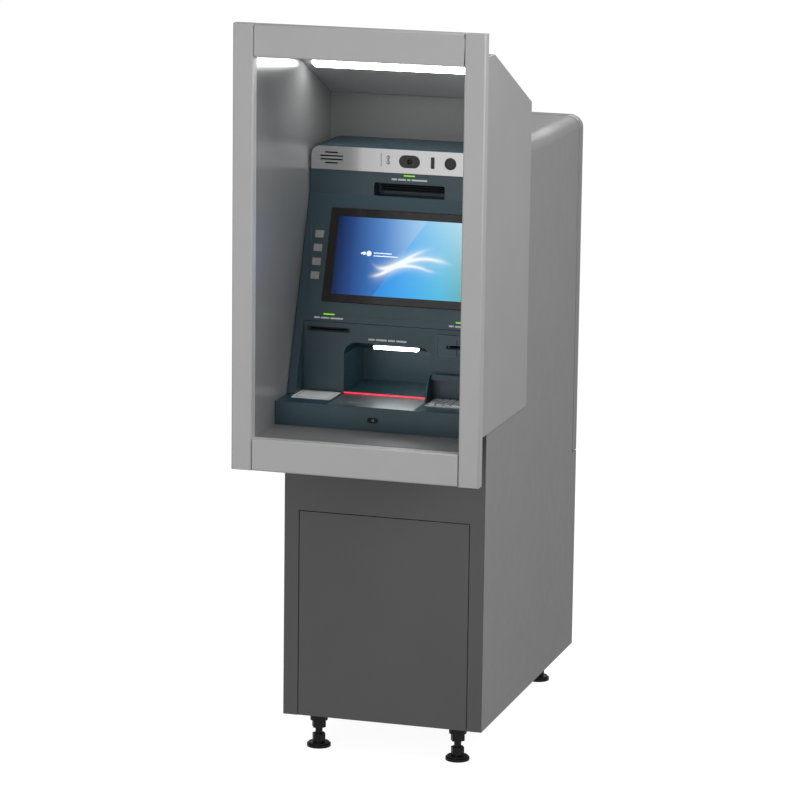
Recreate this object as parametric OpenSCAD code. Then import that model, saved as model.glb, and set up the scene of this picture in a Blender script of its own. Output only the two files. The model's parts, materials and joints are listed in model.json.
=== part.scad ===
// Through-the-wall automated teller machine: wall surround, weather hood, customer fascia
// and a two-bay service cabinet with a safe below and an equipment bay above.
// All sizes in mm. X to the customer's right, Y into the wall, Z up.
// Origin: middle of the bounding box in X and Y, on the floor in Z.

/* [Build] */
// one piece by name, or the whole object
// facets of a full circle
$fn = 64; // [32:8:96]

/* [Overall] */
// outside width of the wall surround
surround_w = 616; // [600:1:700]
// outside height of the wall surround
surround_h = 1070; // [1040:1:1150]
// height of the surround's lower edge above the floor
surround_z = 763; // [740:1:800]
// front of the surround to the face of the rear door
overall_d = 1140; // [1100:1:1250]
// width of the service cabinet
body_w = 511; // [490:1:513]
// height of the top of the service cabinet
body_top = 1504; // [1490:1:1560]
// floor to the underside of the cabinet
foot_h = 91; // [80:1:110]

/* [Surround and hood] */
// face width of each upright of the surround
stile_w = 51; // [45:1:60]
// face height of the top and bottom rails
rail_h = 78; // [70:1:90]
// depth of the surround's channel section
surround_d = 27; // [22:1:32]
// radius of the surround's front edges
edge_r = 4; // [2:0.5:6]
// open joint between the rails and the uprights, each end
seam = 1.2; // [0.8:0.1:2]
// depth of the seat in the upright's back that the hood side stands in
seat_d = 1; // [0.6:0.1:1.5]
// sheet of the hood and the cabinet
sheet = 2; // [1.5:0.1:2.5]
// depth of the level part of the hood roof behind the surround
roof_flat = 232; // [200:1:260]
// surround front to the back of the hood
hood_d = 605.6; // [600:0.1:640]
// fall of the sloping part of the roof
roof_fall = 155; // [130:1:160]
// surround front to the niche's back wall
niche_d = 596; // [580:1:600]
// length of the lamp along the roof's width
lamp_w = 464; // [380:1:480]
// width of the lamp down the roof's slope
lamp_l = 36; // [30:1:70]

/* [Fascia] */
// wall of the moulded fascia and of the folded parts
skin = 3; // [2.5:0.1:3.5]
// surround front to the shelf's front face
shelf_set = 174; // [165:1:185]
// height of the shelf's front face
shelf_h = 58; // [54:1:64]
// surround front to the slanted panel's foot
slope_set = 269; // [262:1:276]
// surround front to the slanted panel's head
slope_top_set = 430; // [420:1:440]
// height of the slanted panel's foot above the shelf
slope_foot_h = 15; // [12:1:18]
// height of the slanted panel's head above the shelf
slope_head_h = 474; // [468:1:490]
// height of the upright header over the slanted panel
header_h = 121; // [115:1:130]
// radius of the header's top corners
header_r = 27; // [20:1:30]
// height of the plain band under the header's metal plate
band_h = 60; // [58:1:66]
// length of the lower recess up the slope
recess_len = 169; // [165:1:172]
// width of the slanted strips beside the lower recess
strip_w = 20.5; // [17:0.5:22]
// width of the display's glass
glass_w = 385; // [370:1:392]
// height of the display's glass
glass_h = 232; // [225:1:240]
// middle of the glass, up the slope from its foot
glass_mid = 335; // [330:1:340]

/* [Keys] */
// width of a function key
fkey_w = 21.4; // [18:0.2:25]
// height of a function key
fkey_h = 18; // [14:0.5:22]
// spacing of the function keys
fkey_pitch = 34.4; // [28:0.2:36]
// top function key, up the slope
fkey_top = 384.2; // [370:0.2:400]
// middle of the glass to the middle of a function key
fkey_x = 217.9; // [216:0.1:219]
// side of a square keypad key
key_size = 13.5; // [12:0.1:15]
// width of a wide keypad key
key_wide = 30; // [24:0.5:32]
// spacing of the keypad keys
key_pitch = 18.6; // [17.5:0.1:19.2]
// middle of the first column of keys
key_x0 = 118.75; // [118:0.05:121]
// recess face to the middle of the back row of keys
key_back = 15.7; // [14.5:0.1:17]
// clearance round each key
key_gap = 0.4; // [0.3:0.05:0.6]

/* [Cash niche] */
// middle of the cash niche
cav_x = -19.2; // [-24:0.1:-16]
// width of the cash niche
cav_w = 221.6; // [210:0.1:228]
// height of the cash niche at its mouth
cav_h = 127; // [118:1:132]
// radius of the mouth's top corners
cav_r = 32; // [24:1:38]
// depth of the cash niche
cav_d = 163.5; // [150:0.5:170]
// fall of the niche's ceiling towards its back
cav_fall = 44; // [36:1:50]
// depth of the note bin under the shelf
bin_drop = 54; // [48:1:57]

/* [Cabinet] */
// surround front to the cabinet's front face
cab_set = 251; // [245:1:260]
// radius of the upper bay's top corners
top_r = 34; // [26:1:40]
// depth of the rear door
door_d = 37; // [32:1:42]
// gap round the rear door
door_gap = 5; // [4:0.5:6]
// height of the ledge under the rear door
ledge_h = 616; // [610:1:630]
// width of the removable front cover
cover_w = 433; // [400:1:440]
// height of the front cover's top edge
cover_top = 611.5; // [590:0.5:620]
// gap round the front cover
cover_gap = 2; // [1.5:0.1:3]
// wall of the safe
safe_wall = 12; // [10:1:14]
// outside width of the safe
safe_w = 470; // [455:1:476]
// height of the safe's top
safe_top = 614; // [600:1:614]
// middle of the cabinet to each foot
foot_x = 180; // [165:1:190]
// cabinet front to the front feet
foot_in = 57; // [50:1:65]

/* [Hidden] */
y_front = -overall_d/2;
y_rear = overall_d/2;
y_wall = y_front + surround_d;
hw = surround_w/2 - stile_w;
z_floor = surround_z + rail_h + 1;
z_open_top = surround_z + surround_h - rail_h;
roof_z = z_open_top + sheet;
knee_y = y_wall + roof_flat;
hood_y = y_front + hood_d;
roof_z1 = roof_z - roof_fall;
roof_a = atan(roof_fall/(hood_y - knee_y));
niche_y = y_front + niche_d;
fw = hw - 2;
shelf_y = y_front + shelf_set;
shelf_z = z_floor + shelf_h;
slope_y = y_front + slope_set;
slope_z = shelf_z + slope_foot_h;
head_y = y_front + slope_top_set;
head_z = shelf_z + slope_head_h;
tilt = atan((head_y - slope_y)/(head_z - slope_z));
slope_len = sqrt(pow(head_y - slope_y, 2) + pow(head_z - slope_z, 2));
header_z = head_z + header_h;
band_z = head_z + band_h;
rw = fw - strip_w;
face_y = slope_y + recess_len*sin(tilt);
face_top = slope_z + recess_len*cos(tilt) - 1.2;
cav_back = face_y + cav_d;
bin_z = shelf_z - bin_drop;
visor_y = face_y - 21;
visor_z = shelf_z + 51;
lens_z = shelf_z + 563.3;
cab_y = y_front + cab_set;
low_top = z_floor - sheet;
up_y = hood_y + 0.4;
door_y = y_rear - door_d;
shell_rear = door_y - door_gap;
cx = body_w/2;
safe_y0 = cab_y + 22;
safe_y1 = y_rear - 73;
safe_door_y = y_rear - 70;
pivot_x = -(safe_w/2 + 3);
pivot_y = y_rear - 40;
hinge_x = -cx - 7;
hinge_y = door_y - door_gap/2;
hinge_zs = [ledge_h + 104, (ledge_h + body_top)/2, body_top - 104];
anchor_sx = 380;
anchor_sy = 600;
anchor_y = (safe_y0 + safe_y1)/2;
cable_x = 205;
cable_y = y_rear - 230;
tower = [-105, head_y - 80, 172, 115];
card_x = 165.5;
card_z = shelf_z + 130.5;
handle_x = 90;
dial_x = -40;
lock_z = foot_h + 299;
foot_ys = [cab_y + foot_in, y_rear - foot_in - 5];

// ---------- helpers ----------
module yprism(y0, y1) translate([0, y1, 0]) rotate([90, 0, 0]) linear_extrude(y1 - y0) children();
module xprism(x0, x1) translate([x0, 0, 0]) rotate([90, 0, 90]) linear_extrude(x1 - x0) children();
module block(x0, x1, y0, y1, z0, z1) translate([x0, y0, z0]) cube([x1 - x0, y1 - y0, z1 - z0]);
module rrect(w, h, r) {
  square([w - 2*r, h], center = true);
  square([w, h - 2*r], center = true);
  for (x = [-1, 1], y = [-1, 1]) translate([x*(w/2 - r), y*(h/2 - r)]) circle(r);
}
module arch(w, h, r) {
  translate([-w/2, 0]) square([w, h - r]);
  translate([-w/2 + r, 0]) square([w - 2*r, h]);
  for (s = [-1, 1]) translate([s*(w/2 - r), h - r]) circle(r);
}
module stadium(w, h) {
  square([w - h, h], center = true);
  for (s = [-1, 1]) translate([s*(w - h)/2, 0]) circle(h/2);
}
module slope_frame() translate([0, slope_y, slope_z]) rotate([90 - tilt, 0, 0]) children();
module roof_frame() translate([0, knee_y, roof_z]) rotate([-roof_a, 0, 0]) children();
function roof_under(y) = roof_z1 - sheet/cos(roof_a) + (hood_y - y)*tan(roof_a);
function fkey_s(i) = fkey_top - fkey_pitch*(i%4);
function key_x(i) = i%4 < 3 ? key_x0 + key_pitch*(i%4) : key_x0 + 2*key_pitch + key_size/2 + 5.1 + key_wide/2;
function key_y(i) = face_y - key_back - key_pitch*floor(i/4);
function key_w(i) = i%4 < 3 ? key_size : key_wide;

// ---------- surround ----------
// lipped channel section: depth along x from 0, width along y, centred
module channel(w) difference() {
  union() {
    translate([edge_r, -w/2]) square([surround_d - edge_r, w]);
    translate([0, -w/2 + edge_r]) square([surround_d, w - 2*edge_r]);
    for (s = [-1, 1]) translate([edge_r, s*(w/2 - edge_r)]) circle(edge_r);
  }
  translate([skin, -w/2 + skin]) square([surround_d - 2*skin, w - 2*skin]);
  translate([surround_d - skin - 1, -w/2 + 15]) square([skin + 2, w - 30]);
}
module channel_end(w) {
  translate([edge_r, -w/2]) square([surround_d - edge_r, w]);
  translate([0, -w/2 + edge_r]) square([surround_d, w - 2*edge_r]);
  for (s = [-1, 1]) translate([edge_r, s*(w/2 - edge_r)]) circle(edge_r);
}
module stile(side) difference() {
  translate([side*(surround_w - stile_w)/2, y_front, surround_z]) {
    linear_extrude(surround_h) rotate(90) channel(stile_w);
    for (z = [0, surround_h - skin]) translate([0, 0, z])
      linear_extrude(skin) rotate(90) channel_end(stile_w);
  }
  // seat of the hood side
  translate([side > 0 ? hw - 1 : -hw - sheet - 0.5, y_wall - seat_d, surround_z - 1])
    cube([sheet + 1.5, seat_d + 1, surround_h + 2]);
}
module rail(z) translate([0, y_front, z + rail_h/2])
  xprism(-hw + seam, hw - seam) channel(rail_h);
module trim_stile_left() stile(-1);
module trim_stile_right() stile(1);
module trim_rail_top() rail(z_open_top);
module trim_rail_bottom() rail(surround_z);

// ---------- hood ----------
module hood_side(side) xprism(side > 0 ? hw : -hw - sheet, side > 0 ? hw + sheet : -hw)
  polygon([[y_wall - seat_d, low_top], [hood_y, low_top], [hood_y, roof_z1], [knee_y, roof_z],
    [y_wall - seat_d, roof_z]]);
module hood_side_left() hood_side(-1);
module hood_side_right() hood_side(1);
module hood_roof() xprism(-hw, hw) polygon([
  [y_wall, roof_z], [knee_y, roof_z], [hood_y, roof_z1], [hood_y, roof_z1 - 14],
  [hood_y - sheet, roof_z1 - 14], [hood_y - sheet, roof_under(hood_y - sheet)],
  [hood_y - (roof_z - sheet - roof_z1 + sheet/cos(roof_a))/tan(roof_a), roof_z - sheet],
  [y_wall, roof_z - sheet]]);
module tower_hole(z0, z1)
  block(tower[0] - 8, tower[0] + tower[2] + 8, tower[1] - 8, tower[1] + tower[3] + 8, z0, z1);
module hood_liner() {
  difference() {
    block(-hw, hw, y_wall, niche_y + sheet, low_top, z_floor);
    tower_hole(low_top - 1, z_floor + 1);
  }
  difference() {
    block(-hw, hw, niche_y, niche_y + sheet, low_top, roof_under(niche_y + sheet));
    block(-225, 225, niche_y - 1, niche_y + sheet + 1, shelf_z + 5, header_z - 50);
  }
}
module hood_lamp() roof_frame() translate([0, 136, -sheet - 4.1]) {
  difference() {
    linear_extrude(4) rrect(lamp_w, lamp_l, 3);
    translate([0, 0, -1]) linear_extrude(2.5) rrect(lamp_w - 6, lamp_l - 6, 2);
  }
  translate([0, 0, 0.5]) linear_extrude(2) rrect(lamp_w - 6, lamp_l - 6, 2);
}

// ---------- fascia ----------
module lens_shapes(grow) {
  translate([0, lens_z]) stadium(53 + grow, 31 + grow);
  translate([59, lens_z]) rrect(9 + grow, 28 + grow, 2);
  translate([104, lens_z]) circle((29.5 + grow)/2);
}
module speaker_slots() for (i = [0 : 3])
  translate([-199.5, lens_z + 8.6*(i - 1.5)]) stadium(i == 0 || i == 3 ? 33 : 59, 3.5);
module fascia_panel() difference() {
  union() {
    slope_frame() translate([0, 0, -skin]) linear_extrude(skin) difference() {
      translate([-fw, -slope_foot_h + 0.5]) square([2*fw, slope_len + slope_foot_h - 0.5]);
      translate([-rw, -slope_foot_h - 1]) square([2*rw, recess_len + slope_foot_h + 1]);
      translate([0, glass_mid]) rrect(glass_w + 0.8, glass_h + 0.8, 3.4);
      for (i = [0 : 7]) translate([(i < 4 ? -1 : 1)*fkey_x, fkey_s(i)])
        rrect(fkey_w + 2*key_gap, fkey_h + 2*key_gap, 1.9);
      for (x = [-171, card_x]) translate([x, 187]) stadium(29, 3.4);
    }
    difference() {
      yprism(head_y, niche_y) translate([0, head_z - 4]) arch(2*fw - 1, header_h + 4, header_r);
      yprism(head_y + skin, niche_y + 1) translate([0, head_z - 5])
        arch(2*(fw - skin) - 1, header_h + 5 - skin, header_r - skin);
    }
    block(-93, 93, head_y + 1, head_y + 46, head_z - 3, head_z + 37);
  }
  // passbook pocket and its slot
  yprism(head_y - 3, head_y + 43) translate([0, head_z + 0.5]) arch(180, 33.5, 6);
  block(-80, 80, head_y + 40, head_y + 47, head_z + 13, head_z + 21);
  yprism(head_y - 1, head_y + skin + 1) {
    lens_shapes(0.6);
    speaker_slots();
    translate([0, head_z + 54]) stadium(29, 3.4);
  }
}
module header_plate() yprism(head_y - 1.5, head_y) difference() {
  translate([0, band_z]) arch(2*fw - 6.4, header_h - band_h - 3.2, header_r - 3);
  lens_shapes(0.6);
  speaker_slots();
}
module sensor_windows() {
  yprism(head_y - 1, head_y + skin) lens_shapes(0);
  yprism(head_y + skin, head_y + skin + 2) {
    translate([0, lens_z]) stadium(60, 37);
    translate([59, lens_z]) rrect(14, 33, 2);
    translate([104, lens_z]) circle(18);
  }
}
module indicator_lights() {
  yprism(head_y - 0.8, head_y + skin) translate([0, head_z + 54]) stadium(28.6, 3);
  yprism(head_y + skin, head_y + skin + 2) translate([0, head_z + 54]) stadium(34, 8);
  for (x = [-171, card_x]) slope_frame() translate([x, 187, 0]) {
    translate([0, 0, -skin]) linear_extrude(skin + 0.8) stadium(28.6, 3);
    translate([0, 0, -skin - 2]) linear_extrude(2) stadium(34, 8);
  }
}
module display_glass() slope_frame() translate([0, glass_mid, -skin])
  linear_extrude(skin + 1) rrect(glass_w, glass_h, 3);
module display_module() slope_frame() translate([0, glass_mid, 0]) difference() {
  union() {
    translate([0, 0, -skin - 2]) linear_extrude(2) rrect(glass_w + 16, glass_h + 16, 3);
    translate([0, 0, -skin - 38]) linear_extrude(37) rrect(glass_w - 13, glass_h - 10, 4);
  }
  for (i = [-5 : 5]) translate([i*22, 60, -skin - 39]) linear_extrude(3) rrect(6, 50, 2.5);
}
module function_key(i) slope_frame() translate([(i < 4 ? -1 : 1)*fkey_x, fkey_s(i), 0]) {
  translate([0, 0, -skin - 2.1]) linear_extrude(skin + 4.1) rrect(fkey_w, fkey_h, 1.5);
  translate([0, 0, -skin - 2.1]) linear_extrude(2) rrect(fkey_w + 3.4, fkey_h + 3.4, 1.5);
}
module fascia_lower() difference() {
  union() {
    yprism(face_y, face_y + skin) translate([-rw, shelf_z]) square([2*rw, face_top - shelf_z]);
    for (s = [-1, 1]) xprism(s > 0 ? rw : -rw - 2, s > 0 ? rw + 2 : -rw) polygon([
      [slope_y + skin*cos(tilt) - (slope_foot_h - skin*sin(tilt))*tan(tilt), shelf_z],
      [face_y + skin, slope_z - skin*sin(tilt) + (face_y + skin - slope_y - skin*cos(tilt))/tan(tilt)],
      [face_y + skin, shelf_z]]);
    yprism(face_y, cav_back) translate([cav_x, bin_z]) arch(cav_w + 5, cav_h + bin_drop + 2.5, cav_r + 2.5);
  }
  // note niche with a falling ceiling
  intersection() {
    yprism(face_y - 1, cav_back - 2.5) translate([cav_x, shelf_z]) arch(cav_w, cav_h, cav_r);
    xprism(cav_x - cav_w, cav_x + cav_w) polygon([[face_y - 1, shelf_z], [cav_back, shelf_z],
      [cav_back, shelf_z + cav_h - cav_fall], [face_y, shelf_z + cav_h], [face_y - 1, shelf_z + cav_h]]);
  }
  // note bin under the shutter, and the shutter's way out at the back
  block(cav_x - cav_w/2 + 7, cav_x + cav_w/2 - 7, face_y + 9, cav_back - 22, bin_z + 2.5, shelf_z + 1);
  block(cav_x - cav_w/2, cav_x + cav_w/2, cav_back - 3, cav_back + 1, shelf_z, shelf_z + 3.5);
  // receipt slot and card reader opening
  block(-220, -118.6, face_y - 1, face_y + skin + 1, shelf_z + 152, shelf_z + 158);
  yprism(face_y - 1, face_y + skin + 1) translate([card_x, card_z]) rrect(108, 47, 3);
}
module cash_shutter() difference() {
  block(cav_x - cav_w/2 + 0.4, cav_x + cav_w/2 - 0.4, face_y + 0.6, cav_back - 0.6,
    shelf_z + 0.1, shelf_z + 3.1);
  translate([cav_x, face_y + 22, shelf_z + 2.1]) linear_extrude(2) stadium(70, 12);
}
module card_reader() difference() {
  union() {
    yprism(face_y - 5.5, face_y) translate([card_x, card_z]) rrect(121, 61, 4);
    yprism(face_y, face_y + 7) translate([card_x, card_z]) rrect(106, 45, 3);
    yprism(face_y + 7, face_y + 150) translate([card_x, card_z]) rrect(78, 42, 2);
  }
  yprism(face_y - 6.5, face_y - 4) translate([card_x, card_z]) rrect(111, 51, 3);
  yprism(face_y - 6.5, face_y + 3) translate([card_x, card_z + 1]) rrect(68, 9, 2);
  yprism(face_y - 6.5, face_y - 1.5) translate([card_x, card_z]) rrect(18, 40, 4);
  yprism(face_y - 6.5, face_y + 70) translate([card_x, card_z + 1]) rrect(57, 5, 1);
}
module keypad_shroud() {
  for (x = [94, rw - 4]) xprism(x, x + 4) polygon([[face_y, shelf_z], [face_y, shelf_z + 65],
    [visor_y - 8, shelf_z + 65], [visor_y - 40, shelf_z]]);
  block(95, rw - 1, visor_y, face_y, visor_z, shelf_z + 65);
}
module keypad_plate() difference() {
  union() {
    block(key_x0 - 15.75, key_x(3) + key_wide/2 + 9, key_y(15) - 15, face_y - 1.5, shelf_z, shelf_z + 2);
    block(key_x0 - 11.75, key_x(3) + key_wide/2 + 5, key_y(15) - 11, face_y - 5.5, shelf_z - 38, shelf_z + 1);
  }
  for (i = [0 : 15]) translate([key_x(i), key_y(i), shelf_z - 8])
    linear_extrude(11) rrect(key_w(i) + 2*key_gap, key_size + 2*key_gap, 1.9);
}
module keypad_key(i) translate([key_x(i), key_y(i), shelf_z - 6])
  linear_extrude(11) rrect(key_w(i), key_size, 1.5);
module shelf() difference() {
  block(-fw, fw, shelf_y, face_y, z_floor, shelf_z);
  block(-fw + skin, fw - skin, shelf_y + skin, face_y + 1, z_floor - 1, shelf_z - skin);
  block(-126.2, 92.2, shelf_y + 3.8, face_y - 3.8, shelf_z - 1.5, shelf_z + 1);
  translate([-184, face_y - 53.5, shelf_z - 1.5]) linear_extrude(3) rrect(100.4, 94.4, 5.2);
  block(key_x0 - 12.75, key_x(3) + key_wide/2 + 6, key_y(15) - 12, face_y - 4.5, shelf_z - 5, shelf_z + 1);
  yprism(shelf_y - 1, shelf_y + skin + 1) translate([-8, shelf_z - 31.5]) stadium(28.6, 14);
}
module shelf_plate() block(-126, 92, shelf_y + 4, face_y - 4, shelf_z - 1.5, shelf_z);
module contactless_pad() translate([-184, face_y - 53.5, shelf_z - 1.5])
  linear_extrude(2.6) rrect(100, 94, 5);
module receipt_printer() difference() {
  union() {
    block(-228, -138, face_y + skin, face_y + 125, shelf_z + 55, shelf_z + 164);
    block(-224, -116, face_y + skin, face_y + 30, shelf_z + 144, shelf_z + 166);
    translate([0, face_y + 125, shelf_z + 104]) xprism(-216, -150) circle(38);
  }
  block(-218, -121, face_y + skin - 1, face_y + 26, shelf_z + 152.5, shelf_z + 157.5);
}

// ---------- cabinet ----------
module barrel_hinge(z, part) translate([hinge_x, hinge_y, z]) {
  if (part == "fixed") {
    translate([0, 0, -30]) cylinder(r = 7, h = 30);
    translate([0, 0, -1]) cylinder(r = 4, h = 27);
    translate([4, -36, -30]) cube([3, 34, 30]);
    translate([0, -7, -30]) cube([6, 6, 30]);
  } else difference() {
    union() {
      translate([0, 0, 0.3]) cylinder(r = 7, h = 30);
      translate([4, 4, 0.3]) cube([3, 28, 30]);
      translate([0, 1, 0.3]) cube([6, 6, 30]);
    }
    translate([0, 0, -1]) cylinder(r = 4.05, h = 32.5);
  }
}
module cabinet_shell() {
  for (s = [-1, 1]) xprism(s > 0 ? cx - sheet : -cx, s > 0 ? cx : -cx + sheet) polygon([
    [cab_y + sheet, foot_h], [y_rear, foot_h], [y_rear, ledge_h], [shell_rear, ledge_h],
    [shell_rear, body_top - 2*top_r], [up_y, body_top - 2*top_r], [up_y, low_top], [cab_y + sheet, low_top]]);
  difference() {
    yprism(up_y, shell_rear) translate([0, body_top - 2*top_r - 1]) arch(body_w, 2*top_r + 1, top_r);
    yprism(up_y - 1, shell_rear + 1) translate([0, body_top - 2*top_r - 2])
      arch(body_w - 2*sheet, 2*top_r + 2 - sheet, top_r - sheet);
  }
  // bulkhead behind the hood, open where the fascia's modules reach in
  yprism(up_y, up_y + sheet) difference() {
    translate([0, low_top - sheet]) arch(body_w, body_top - low_top + sheet, top_r);
    translate([-225, shelf_z + 5]) square([450, header_z - 55 - shelf_z]);
  }
  // lid of the lower bay
  difference() {
    block(-cx + 1, cx - 1, cab_y + sheet, up_y + 1, low_top - sheet, low_top);
    tower_hole(low_top - 3, low_top + 1);
  }
  // rear frame that the door closes on
  yprism(shell_rear - sheet, shell_rear) difference() {
    translate([0, ledge_h - sheet]) arch(body_w, body_top - ledge_h + sheet, top_r);
    translate([0, ledge_h - 3]) arch(body_w - 40, body_top - ledge_h - 17, top_r - 14);
  }
  block(-cx + 1, cx - 1, safe_y1, y_rear - sheet, ledge_h - sheet, ledge_h);
  for (z = hinge_zs) barrel_hinge(z, "fixed");
}
module base_holes(z0, z1) {
  for (x = [-1, 1], y = [-1, 1]) translate([x*anchor_sx/2, anchor_y + y*anchor_sy/2, z0])
    cylinder(r = 7, h = z1 - z0);
  translate([cable_x, cable_y, z0]) cylinder(r = 16, h = z1 - z0);
}
module cabinet_frame() {
  difference() {
    block(-cx + sheet, cx - sheet, cab_y + sheet, y_rear - sheet, foot_h, foot_h + 6);
    base_holes(foot_h - 1, foot_h + 7);
    for (x = [-1, 1], y = foot_ys) translate([x*foot_x, y, foot_h - 1]) cylinder(r = 9.2, h = 8);
  }
  difference() {
    block(-cx, cx, cab_y, cab_y + sheet, foot_h, low_top);
    block(-cover_w/2 - cover_gap, cover_w/2 + cover_gap, cab_y - 1, cab_y + 3,
      foot_h - 1, cover_top + cover_gap);
  }
  difference() {
    block(-cover_w/2 - cover_gap - 2, cover_w/2 + cover_gap + 2, cab_y + 1, cab_y + 16,
      foot_h + 5, cover_top + cover_gap + 2);
    block(-cover_w/2 - cover_gap, cover_w/2 + cover_gap, cab_y, cab_y + 14,
      foot_h + 4, cover_top + cover_gap);
    block(-cover_w/2 + 11, cover_w/2 - 11, cab_y, cab_y + 17, foot_h + 4, cover_top - 11);
  }
  translate([pivot_x, pivot_y, foot_h + 5]) cylinder(r = 6, h = 19);
}
module front_cover() difference() {
  block(-cover_w/2, cover_w/2, cab_y, cab_y + 14, foot_h + 0.5, cover_top);
  block(-cover_w/2 + sheet, cover_w/2 - sheet, cab_y + sheet, cab_y + 15, foot_h + 8, cover_top - sheet);
  block(-cover_w/2 - 1, cover_w/2 + 1, cab_y + sheet, cab_y + 15, foot_h - 1, foot_h + 8);
}
module leveling_feet() for (x = [-1, 1], y = foot_ys) translate([x*foot_x, y, 0]) {
  cylinder(r = 30, h = 7);
  translate([0, 0, 7]) cylinder(r = 26, h = 4);
  cylinder(r = 15, h = 16);
  translate([0, 0, 16]) cylinder(r = 17, h = 17, $fn = 6);
  cylinder(r = 9, h = foot_h + 5);
  translate([0, 0, foot_h - 42]) cylinder(r = 18, h = 20, $fn = 6);
  translate([0, 0, foot_h - 23]) cylinder(r = 22, h = 23);
}
module safe_body() {
  difference() {
    block(-safe_w/2, safe_w/2, safe_y0, safe_y1, foot_h + 6, safe_top);
    block(-safe_w/2 + safe_wall, safe_w/2 - safe_wall, safe_y0 + safe_wall, safe_y1 + 1,
      foot_h + 6 + safe_wall, safe_top - safe_wall);
    tower_hole(safe_top - safe_wall - 1, safe_top + 1);
    base_holes(foot_h + 5, foot_h + 7 + safe_wall);
  }
  // upper pivot of the safe door
  block(pivot_x - 10, pivot_x + 12, safe_y1 - 20, pivot_y + 12, safe_top - 6, safe_top);
  translate([pivot_x, pivot_y, safe_top - 20]) cylinder(r = 6, h = 16);
}
module safe_door() difference() {
  union() {
    block(pivot_x - 8, -pivot_x + 8, safe_door_y, pivot_y, foot_h + 10, safe_top - 8);
    translate([pivot_x, pivot_y, foot_h + 10]) cylinder(r = 10, h = safe_top - 18 - foot_h);
  }
  translate([pivot_x, pivot_y, foot_h + 9]) cylinder(r = 6.05, h = 17);
  translate([pivot_x, pivot_y, safe_top - 22]) cylinder(r = 6.05, h = 15);
  yprism(pivot_y - 17, pivot_y + 1) {
    translate([handle_x, lock_z]) circle(8.05);
    translate([dial_x, lock_z]) circle(5.05);
  }
}
module safe_handle() {
  yprism(pivot_y - 16, pivot_y + 12) translate([handle_x, lock_z]) circle(8);
  yprism(pivot_y + 0.5, pivot_y + 10) translate([handle_x, lock_z]) circle(26);
  yprism(pivot_y + 10, pivot_y + 30) translate([handle_x, lock_z]) circle(16);
  for (a = [90, 210, 330]) translate([handle_x, pivot_y + 22, lock_z]) rotate([0, a, 0]) {
    translate([0, 0, 10]) cylinder(r = 6, h = 70);
    translate([0, 0, 76]) cylinder(r = 10, h = 22);
  }
}
module lock_dial() {
  yprism(pivot_y - 16, pivot_y + 4) translate([dial_x, lock_z]) circle(5);
  yprism(pivot_y + 0.5, pivot_y + 8) translate([dial_x, lock_z]) circle(38);
  yprism(pivot_y + 8, pivot_y + 28) translate([dial_x, lock_z]) difference() {
    circle(24);
    for (a = [0 : 30 : 330]) rotate(a) translate([25, 0]) circle(2.5);
  }
}
module rear_door() {
  difference() {
    yprism(door_y, y_rear) translate([0, ledge_h + 3]) arch(body_w, body_top - ledge_h - 3, top_r);
    yprism(door_y - 1, y_rear - sheet) translate([0, ledge_h + 3 + sheet])
      arch(body_w - 2*sheet, body_top - ledge_h - 3 - 2*sheet, top_r - sheet);
    translate([cx - 55, y_rear - 3, (ledge_h + body_top)/2]) rotate([-90, 0, 0]) cylinder(r = 11, h = 5);
    for (i = [0 : 7]) block(-110, 110, y_rear - 3, y_rear + 1, ledge_h + 62 + 16*i, ledge_h + 67 + 16*i);
  }
  for (z = hinge_zs) barrel_hinge(z, "door");
}

// ---------- modules ----------
module cash_recycler() {
  for (s = [-1, 1]) difference() {
    block(s > 0 ? 160 : -163, s > 0 ? 163 : -160, safe_y0 + 60, safe_y1 - 27, foot_h + 18, safe_top - 14);
    block(-164, 164, safe_y0 + 80, safe_y0 + 240, foot_h + 60, safe_top - 150);
  }
  difference() {
    block(-161, 161, safe_y0 + 60, safe_y1 - 57, safe_top - 124, safe_top - 16);
    block(-157, 157, safe_y0 + 64, safe_y1 - 61, safe_top - 120, safe_top - 20);
    block(-140, 140, safe_y1 - 62, safe_y1 - 56, safe_top - 110, safe_top - 40);
  }
  for (s = [-1, 1], i = [0 : 3]) block(s > 0 ? 146 : -161, s > 0 ? 161 : -146,
    safe_y1 - 537, safe_y1 - 57, foot_h + 22 + 92*i, foot_h + 25 + 92*i);
  // note transport up to the bin
  difference() {
    block(tower[0], tower[0] + tower[2], tower[1], tower[1] + tower[3], safe_top - 20, bin_z - 0.3);
    block(tower[0] + 4, tower[0] + tower[2] - 4, tower[1] + 4, tower[1] + tower[3] - 4,
      safe_top - 21, bin_z - 4);
    block(tower[0] + 10, tower[0] + tower[2] - 10, tower[1] + 50, tower[1] + 65, bin_z - 5, bin_z);
  }
}
module cash_cassettes() for (i = [0 : 3]) translate([0, 0, foot_h + 25 + 92*i]) {
  difference() {
    block(-148, 148, safe_y1 - 500, safe_y1 - 57, 0, 84);
    block(-144, 144, safe_y1 - 496, safe_y1 - 61, 4, 80);
    block(-100, 100, safe_y1 - 501, safe_y1 - 495, 60, 72);
  }
  difference() {
    block(-60, 60, safe_y1 - 58, safe_y1 - 37, 30, 56);
    block(-50, 50, safe_y1 - 57, safe_y1 - 45, 29, 57);
  }
}
module pc_unit() difference() {
  block(-235, -125, up_y + 120, safe_y1 - 7, safe_top, safe_top + 400);
  block(-233, -127, up_y + 122, safe_y1 - 9, safe_top + sheet, safe_top + 398);
  for (i = [0 : 11]) block(-220, -140, safe_y1 - 10, safe_y1 - 6,
    safe_top + 250 + 11*i, safe_top + 255 + 11*i);
}

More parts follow.
